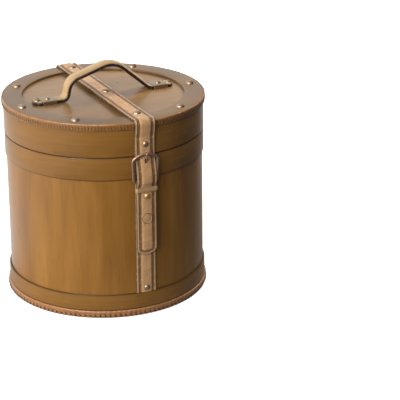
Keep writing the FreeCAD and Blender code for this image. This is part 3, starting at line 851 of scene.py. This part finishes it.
# The padding: nothing over the feet, then a smooth step to full a little way up the arch.
def archSwell(places):
    total = lineLength(handleLine)[-1]
    inward = np.minimum(places, total - places)
    t = np.clip((inward - handleForm["foot"]) / handleForm["swellOver"], 0, 1)
    return t * t * (3 - 2 * t)


handleTips = (handleForm["tip"], handleForm["tip"])
handle, putHandle, handleTotal = stripShape("handleStrap", handleLine, "xz", handleForm, handleLeather,
                                            tips=handleTips, swell=archSwell)
finish(handle, "lid", "handle_leather", "handle_strap")
handleStitches = stitchRows("handleStitches", putHandle, handleTotal, handleForm, lightThread,
                            tips=handleTips)
finish(handleStitches, "lid", "handle_leather")
print("handle made")


# Round heads turned about their normals from a section of (radius, height) that ends at both poles.
def buttons(name, places, normals, outline, material, sides=32):
    outline = np.asarray(outline, float)
    turn = np.linspace(0, 2 * np.pi, sides, endpoint=False)
    grid = np.stack([np.cos(turn)[:, None] * outline[:, 0], np.sin(turn)[:, None] * outline[:, 0],
                     np.repeat(outline[None, :, 1], sides, 0)], -1)
    rows = len(outline)
    i, j = np.meshgrid(np.arange(sides), np.arange(rows - 1), indexing="ij")
    here, following = i * rows + j, (i + 1) % sides * rows + j
    faces = np.stack([here, following, following + 1, here + 1], -1)
    normals = np.asarray(normals, float)
    side = np.repeat([[1.0, 0.0, 0.0]], len(normals), 0)
    turns = np.stack([side, np.cross(normals, side), normals], -1)
    places = np.asarray(places, float)
    return repeated(name, grid.reshape(-1, 3), faces.reshape(-1, 4), places, turns, material, 50)


# A thin flange, a small step, then a quarter ellipse to the crown.
def domeSection(radius, height):
    angle = np.linspace(0, np.pi / 2, 12)
    crown = np.stack([radius * 0.93 * np.cos(angle), height * (0.16 + 0.84 * np.sin(angle))], -1)
    crown[-1, 0] = 0
    flange = [(0, -0.3), (radius * 0.9, -0.3), (radius, 0), (radius, height * 0.1),
              (radius * 0.96, height * 0.16)]
    return np.vstack([flange, crown])


# Lowest and highest corner of each loose solid of a node that holds several, in millimetres: points less
# than apart from the first point left over belong together.
def islands(node, apart=16):
    mesh = frame["nodes"][node].data
    points = np.empty(len(mesh.vertices) * 3)
    mesh.vertices.foreach_get("co", points)
    points = points.reshape(-1, 3) * 1000
    groups = []
    while len(points):
        near = np.linalg.norm(points[:, :2] - points[0, :2], axis=1) < apart
        groups.append((points[near].min(0), points[near].max(0)))
        points = points[~near]
    return groups


up, front, back = np.array([0, 0, 1.0]), np.array([0, -1.0, 0]), np.array([0, 1.0, 0])
# radius and height of a head, and how far its crown stands over the CAD head's on the front and on the back
rivetForm = {"ring": (6.5, 3.8), "small": (4.4, 2.6), "proudFront": 0.4, "proudBack": 0.5}
for name, node, size in (("ringRivets", "ring_rivets", "ring"), ("strapRivets", "strap_rivets", "ring"),
                         ("handleRivetsLeft", "handle_rivets_left", "small"),
                         ("handleRivetsRight", "handle_rivets_right", "small")):
    radius, height = rivetForm[size]
    if size == "ring":
        seats = [np.append((low[:2] + high[:2]) / 2, high[2] - height) for low, high in islands(node)]
    else:
        low, high = nodeBox(node)
        seats = [np.array([low[0] + radius, 0, 0]), np.array([high[0] - radius, 0, 0])]
        outermost = int(abs(seats[1][0]) > abs(seats[0][0]))
        seats[1 - outermost][2] = high[2] - height
        seats[outermost][2] = seat + handleForm["edgeHeight"][-1]
    heads = buttons(name, seats, [up] * len(seats), domeSection(radius, height), bronze)
    finish(heads, "lid", "antique_bronze", node)

radius, height = rivetForm["small"]
for name, node, body, side, count in (("lowerRivet", "lower_strap_rivet", "tub", front, 1),
                                      ("keeperRivet", "chape_rivet", "flap", front, 1),
                                      ("backRivets", "back_strap_rivets", "tub", back, 2)):
    low, high = nodeBox(node)
    reach = high[1] + rivetForm["proudBack"] if side is back else -low[1] + rivetForm["proudFront"]
    levels = [low[2] + radius, high[2] - radius] if count == 2 else [(low[2] + high[2]) / 2]
    seats = [side * (reach - height) + up * level for level in levels]
    metal, slotName = (oldBrass, "old_brass") if node == "chape_rivet" else (bronze, "antique_bronze")
    finish(buttons(name, seats, [side] * count, domeSection(radius, height), metal), body, slotName, node)
low, high = nodeBox("skirt_rivets")
reach, level = high[1] + rivetForm["proudBack"] - height, (low[2] + high[2]) / 2
skirtRivets = buttons("skirtRivets", [front * reach + up * level, back * reach + up * level], [front, back],
                      domeSection(radius, height), bronze)
finish(skirtRivets, "lid", "antique_bronze", "skirt_rivets")

# a plain leather disc pressed on the flap over the magnet, with a raised rim and a shallow groove inside it
discForm = {
    "section": [(0, -0.8), (7.5, -0.8), (7.6, 0.4), (7.2, 0.95), (6.6, 1.1), (6.1, 0.8), (5.7, 0.45),
                (5.2, 0.7), (4.2, 0.95), (0, 1.05)],
    # creaseShade is the radius of a thin dark ring round the disc: a pressed crease, drawn dark as painted
    # shade at its edge
    "creaseShade": 7.85,
    "creaseShadeWide": 0.4,
    "creaseShadeDeep": 0.25,
    "creaseShadeSides": 64,
}
low, high = nodeBox("flap_disc")
discSeat = front * (flapRest + strapForm["edgeHeight"][-1]) + up * (low[2] + high[2]) / 2
flapDisc = buttons("flapDisc", [discSeat], [front], discForm["section"], plainLeather, sides=48)
finish(flapDisc, "flap", "strap_leather", "flap_disc")


# Bar of elliptical section along a line. At each point axisA and axisB are the section's two directions,
# and halfA and halfB its half widths along them.
def tube(name, path, axisA, axisB, halfA, halfB, material, closed=False, sides=16):
    turn = np.linspace(0, 2 * np.pi, sides, endpoint=False)
    ring = (np.cos(turn)[None, :, None] * (axisA * np.reshape(halfA, (-1, 1)))[:, None]
            + np.sin(turn)[None, :, None] * (axisB * np.reshape(halfB, (-1, 1)))[:, None])
    grid = path[:, None] + ring
    length = np.concatenate([lineLength(path), [lineLength(path)[-1] + 1]]) * 0.001
    around = np.linspace(0, 0.012, sides + 1)
    uv = np.stack(np.meshgrid(length if closed else length[:-1], around, indexing="ij"), -1)
    return surface(name, grid, uv, material, loopAlong=closed, sharp=50)


# painted shade: a thin dark ring laid round the disc's edge, drawn in the dark thread's colour
turn = np.linspace(0, 2 * np.pi, discForm["creaseShadeSides"], endpoint=False)
spoke = np.stack([np.cos(turn), 0 * turn, np.sin(turn)], -1)
creaseShade = tube("flapDiscCreaseShade", spoke * discForm["creaseShade"] + discSeat + front * 0.1, spoke,
              np.repeat([front], len(turn), 0), discForm["creaseShadeWide"], discForm["creaseShadeDeep"], darkThread,
              closed=True, sides=8)
finish(creaseShade, "flap", "strap_leather")

# the frame: narrower at the heel bar, upright sides, and a top bar that rises to a low peak. lean is how far
# the top stands in front of the heel
buckleForm = {
    "half": 19.6,
    "taper": 2.0,
    "aside": -1.0,
    "height": 34.8,
    "arch": 9.5,
    "bends": [3.5, 6.5, 25.0, 6.5, 3.5],
    "heel": 208.5,
    "heelReach": 151.7,
    "lean": 1.7,
    "heelWide": 1.7,
    "wide": 2.35,
    "deep": 1.75,
    "stations": 181,
}
half, rise = buckleForm["half"], buckleForm["height"]
heel = half - buckleForm["taper"]
frameRound = roundedLine([(0, 0), (heel, 0), (half, rise), (0, rise + buckleForm["arch"]), (-half, rise),
                          (-heel, 0), (0, 0)], buckleForm["bends"], 0.5)[:-1]
places, flat, outward = evenly(frameRound, buckleForm["stations"])
tilt = math.asin(buckleForm["lean"] / (rise + buckleForm["arch"]))


# From the buckle's own plane to the model: across stays across, and up leans forward by the tilt.
def leaning(pair):
    return np.stack([pair[:, 0], -pair[:, 1] * math.sin(tilt), pair[:, 1] * math.cos(tilt)], -1)


centre = leaning(flat) + [buckleForm["aside"], -buckleForm["heelReach"], buckleForm["heel"]]
faceOn = np.repeat([[0.0, -math.cos(tilt), -math.sin(tilt)]], len(centre), 0)
grown = np.clip((flat[:, 1] - 0.5) / 4, 0, 1)  # the heel bar keeps its round section inside the chape
wide = buckleForm["heelWide"] + (buckleForm["wide"] - buckleForm["heelWide"]) * grown
buckle = tube("buckleFrame", centre, leaning(outward), faceOn, wide, buckleForm["deep"], pewter, closed=True)
finish(buckle, "flap", "pewter", "buckle_frame")

# the prong's route is (Y, Z): from the heel bar up the front of the flap, then forward over the top bar
prongForm = {
    "route": [(-152.4, 208.5), (-149.6, 217.0), (-149.6, 234.5), (-156.5, 243.6), (-156.3, 251.6)],
    "bends": [6, 8, 5],
    "wide": 1.75,
    "narrower": 0.45,
    "deep": 1.15,
    "stations": 60,
}
prongLine = roundedLine(prongForm["route"], prongForm["bends"], 0.6)
share = np.linspace(0, 1, prongForm["stations"])
at, leanOut = alongLine(prongLine, lineLength(prongLine)[-1] * share)
middle = np.stack([0 * share, at[:, 0], at[:, 1]], -1)
sideways = np.repeat([[1.0, 0, 0]], len(share), 0)
depthWays = np.stack([0 * share, leanOut[:, 0], leanOut[:, 1]], -1)
taper = np.clip((1 - share) / 0.03, 0.25, 1) ** 0.5
prongWide = (prongForm["wide"] - prongForm["narrower"] * share) * taper
prong = tube("buckleProng", middle, sideways, depthWays, prongWide, prongForm["deep"] * taper, pewter)
finish(prong, "flap", "pewter", "buckle_prong")

# the chape: a doubled piece of leather round the heel bar, behind the flap. Its route is (Y, height over the
# heel bar), from the top down to its foot
chapeForm = {
    "half": 12.0,
    "edgeAt": np.array([0, 0.4, 1.0, 12.0]),
    "edgeHeight": np.array([0.45, 0.75, 0.8, 0.8]),
    "route": [(-151.7, 2.0), (-150.4, 1.5), (-150.05, -0.4), (-150.6, -3.5), (-150.25, -8)],
}
chapeRoute = [(reach, buckleForm["heel"] + height) for reach, height in chapeForm["route"]]
chapeRoute.append((chapeRoute[-1][0], nodeBox("buckle_chape")[0][2]))
chape = stripShape("buckleChape", np.array(chapeRoute), "yz", chapeForm, plainLeather, step=1.0)[0]
finish(chape, "flap", "strap_leather", "buckle_chape")

# the keeper: a narrow leather loop round the flap. levels and depth are its section, first outside and then
# inside
keeperForm = {
    "corner": 2.0,
    "inFront": 0.35,
    "behind": 0.65,
    "levels": np.array([-4.1, -3.7, -3.0, -1.5, 0, 1.5, 3.0, 3.7, 4.1, 3.6, 0, -3.6]),
    "depth": np.array([0.1, 0.5, 0.75, 0.95, 1.0, 0.95, 0.75, 0.5, 0.1, -0.55, -0.6, -0.55]),
    "outside": 9,
    "stations": 121,
}
half = (keeperHigh[0] - keeperLow[0]) / 2 - keeperForm["behind"]
fore, aft = keeperLow[1] + keeperForm["inFront"], keeperHigh[1] - keeperForm["behind"]
keeperRound = roundedLine([(0, aft), (half, aft), (half, fore), (-half, fore), (-half, aft), (0, aft)],
                          [keeperForm["corner"]] * 4, 0.5)[:-1]
places, flat, outward = evenly(keeperRound, keeperForm["stations"])
levels = keeperForm["levels"]
depth = keeperForm["depth"] * (-1 if (outward[0] @ (flat[0] - flat.mean(0))) < 0 else 1)
heights = np.repeat((levels + (keeperLow[2] + keeperHigh[2]) / 2)[None, :, None], len(flat), 0)
grid = np.concatenate([flat[:, None] + outward[:, None] * depth[None, :, None], heights], -1)
fromEdge = np.where(np.arange(len(levels)) < keeperForm["outside"], levels.max() - np.abs(levels), 0)
mapAlong, mapAcross = np.append(places, places[-1] + 1) * 0.001, np.append(fromEdge, 0) * 0.001
uv = np.stack(np.meshgrid(mapAlong, mapAcross, indexing="ij"), -1)
keeper = surface("keeperLoop", grid, uv, keeperLeather, loopAlong=True, sharp=50)
finish(keeper, "flap", "strap_leather", "keeper_loop")
print("buckle made")

# saddles: pressed metal over the handle's feet, with their sides turned down to the lid. trim is how far the
# ends are rounded, in a few close stations
saddleForm = {"thick": 1.1, "round": 2.6, "trim": 0.4, "ends": np.array([0, 0.12, 0.4]), "flatFrom": 0.8}
for name, node in (("handleSaddleLeft", "handle_saddle_left"), ("handleSaddleRight", "handle_saddle_right")):
    low, high = nodeBox(node)
    wide, tall, long = high[1], high[2] - low[2], high[0] - low[0]
    between = np.linspace(saddleForm["flatFrom"], long - saddleForm["flatFrom"], 9)
    stations = np.concatenate([saddleForm["ends"], between, long - saddleForm["ends"][::-1]])
    rows = []
    for inset in np.clip(saddleForm["trim"] - np.minimum(stations, stations[::-1]), 0, None):
        aside, above = wide - inset, tall - inset
        outerLine = roundedLine([(-aside, 0), (-aside, above), (aside, above), (aside, 0)],
                                [saddleForm["round"]] * 2, 0.4)
        thinner = saddleForm["thick"] - inset
        aside, above = wide - thinner, tall - thinner
        innerLine = roundedLine([(aside, 0), (aside, above), (-aside, above), (-aside, 0)],
                                [saddleForm["round"] - 1] * 2, 0.4)
        rows.append(np.vstack([outerLine, innerLine]))
    rows = np.array(rows)
    grid = np.concatenate([np.repeat((low[0] + stations)[:, None, None], rows.shape[1], 1), rows], -1)
    grid[..., 2] += low[2]
    uv = np.zeros((grid.shape[0] + 1, grid.shape[1] + 1, 2))
    saddle = surface(name, grid, uv, plateSteel, sharp=50)
    finish(saddle, "lid", "plated_steel", node)
for node in ("flap_magnet", "magnet_plate"):
    frame["nodes"][node].data.materials.clear()
    frame["nodes"][node].data.materials.append(plateSteel)
print("fittings made")

# powers are watts a square metre for the two suns and watts for the two area lamps. Spreads, turns and rises
# are in degrees, sizes and places in metres. pale is the way to the brighter side of the room
studio = {
    "keyPower": 5.2,
    "keySpread": 50.0,
    "keyTurn": 24.0,
    "keyRise": 15.0,
    "keyColour": (1.0, 0.985, 0.96),
    "fillPower": 1.0,
    "fillSpread": 30.0,
    "fillPlace": (-1.0, -2.4, 2.2),
    "glintPower": 60.0,
    "glintSize": 0.5,
    "glintPlace": (-1.4, -1.0, 1.7),
    "topPower": 40.0,
    "topSize": 0.6,
    "topPlace": (1.3, 0.6, 1.2),
    "lidMiddle": (0, 0, 0.29),
    "pale": (-0.6, 0.8, 0.0),
    "floorSize": 6.0,
    "floorBright": 0.75,
    "floorDark": 0.05,
    "floorLift": 0.94,
    "worldBright": 1.08,
    "worldDark": 0.04,
}
white = (1.0, 1.0, 1.0, 1.0)


# Pale paper floor. It throws light back on the left and behind, and little on the right, as with a dark
# card there. The camera sees it lifted to an even pale tone, as paper lit on its own.
def makeFloor():
    size = studio["floorSize"]
    corners = [(-size, -size, 0), (size, -size, 0), (size, size, 0), (-size, size, 0)]
    mesh = bpy.data.meshes.new("floor")
    mesh.from_pydata(corners, [], [(0, 1, 2, 3)])
    floor = bpy.data.objects.new("floor", mesh)
    bpy.context.scene.collection.objects.link(floor)
    material, tree, shader = newMaterial("paleFloor", Roughness=0.9)
    place = add(tree, "TexCoord").outputs["Object"]
    side = add(tree, "VectorMath", {0: place, 1: studio["pale"]}, operation="DOT_PRODUCT")
    shade = add(tree, "MapRange", {0: side.outputs["Value"], 1: -0.25, 2: 0.3, 3: studio["floorDark"],
                                   4: studio["floorBright"]})
    tree.links.new(shade.outputs[0], shader.inputs["Base Color"])
    shader.inputs["Emission Color"].default_value = white
    seen = add(tree, "LightPath").outputs["Is Camera Ray"]
    lift = add(tree, "Math", {0: seen, 1: studio["floorLift"]}, operation="MULTIPLY")
    tree.links.new(lift.outputs[0], shader.inputs["Emission Strength"])
    mesh.materials.append(material)


# Lamp at a place, turned to look along the line from there to its target. extent is a sun's spread in
# degrees, or the side of an area lamp in metres.
def lamp(name, kind, power, extent, place, target=(0, 0, 0)):
    light = bpy.data.lights.new(name, kind)
    light.energy = power
    if kind == "SUN":
        light.angle = math.radians(extent)
    else:
        light.shape = "SQUARE"
        light.size = extent
    piece = bpy.data.objects.new(name, light)
    piece.location = place
    piece.rotation_euler = (Vector(target) - Vector(place)).to_track_quat("-Z", "Y").to_euler()
    bpy.context.scene.collection.objects.link(piece)
    return piece


makeFloor()
turnBy, riseBy = math.radians(studio["keyTurn"]), math.radians(studio["keyRise"])
keyPlace = (-3 * math.cos(riseBy) * math.cos(turnBy), -3 * math.cos(riseBy) * math.sin(turnBy),
            3 * math.sin(riseBy))
key = lamp("keyLeft", "SUN", studio["keyPower"], studio["keySpread"], keyPlace)
key.data.color = studio["keyColour"]
key.visible_glossy = False  # it only shades the wall from left to right
lamp("frontFill", "SUN", studio["fillPower"], studio["fillSpread"], studio["fillPlace"])
glint = lamp("rivetGlint", "AREA", studio["glintPower"], studio["glintSize"], studio["glintPlace"],
             studio["lidMiddle"])
glint.visible_diffuse = False  # it only puts bright points on rivets and buckle
softbox = lamp("topSoftbox", "AREA", studio["topPower"], studio["topSize"], studio["topPlace"],
               studio["lidMiddle"])
softbox.visible_glossy = False  # it only casts the handle's soft shadow

world = bpy.data.worlds.new("studio")
world.use_nodes = True
sky = world.node_tree
around = add(sky, "TexCoord").outputs["Generated"]
facing = add(sky, "VectorMath", {0: around, 1: studio["pale"]}, operation="DOT_PRODUCT")
glow = add(sky, "MapRange", {0: facing.outputs["Value"], 1: -0.35, 2: 0.6, 3: studio["worldDark"],
                             4: studio["worldBright"]})
seen = add(sky, "LightPath").outputs["Is Camera Ray"]
shown = add(sky, "Math", {0: glow.outputs[0], 1: seen}, operation="MAXIMUM")  # white to the camera
sky.links.new(shown.outputs[0], sky.nodes["Background"].inputs["Strength"])
sky.nodes["Background"].inputs["Color"].default_value = white
bpy.context.scene.world = world
bpy.context.scene.view_settings.view_transform = "Standard"

# away and above in metres, the rest in degrees but the lens, in millimetres
view = {
    "away": 2.411,
    "above": 0.7696,
    "aside": 22.3,
    "yaw": 3.3794,
    "pitch": 21.3645,
    "roll": -0.2196,
    "lens": 153.9,
}
around = math.radians(view["aside"])
camera = bpy.data.objects.new("camera", bpy.data.cameras.new("camera"))
camera.data.lens = view["lens"]
camera.data.sensor_width = 36.0
camera.data.clip_end = 30.0
camera.location = (-view["away"] * math.sin(around), -view["away"] * math.cos(around),
                   box["top"] * 0.001 + view["above"])
heading = math.radians(-view["aside"] - view["yaw"])
turns = ((heading, "Z"), (math.radians(90 - view["pitch"]), "X"), (math.radians(view["roll"]), "Z"))
first, second, third = [Matrix.Rotation(angle, 3, axis) for angle, axis in turns]
camera.rotation_euler = (first @ second @ third).to_euler()
bpy.context.scene.collection.objects.link(camera)
bpy.context.scene.camera = camera
print("stage made")
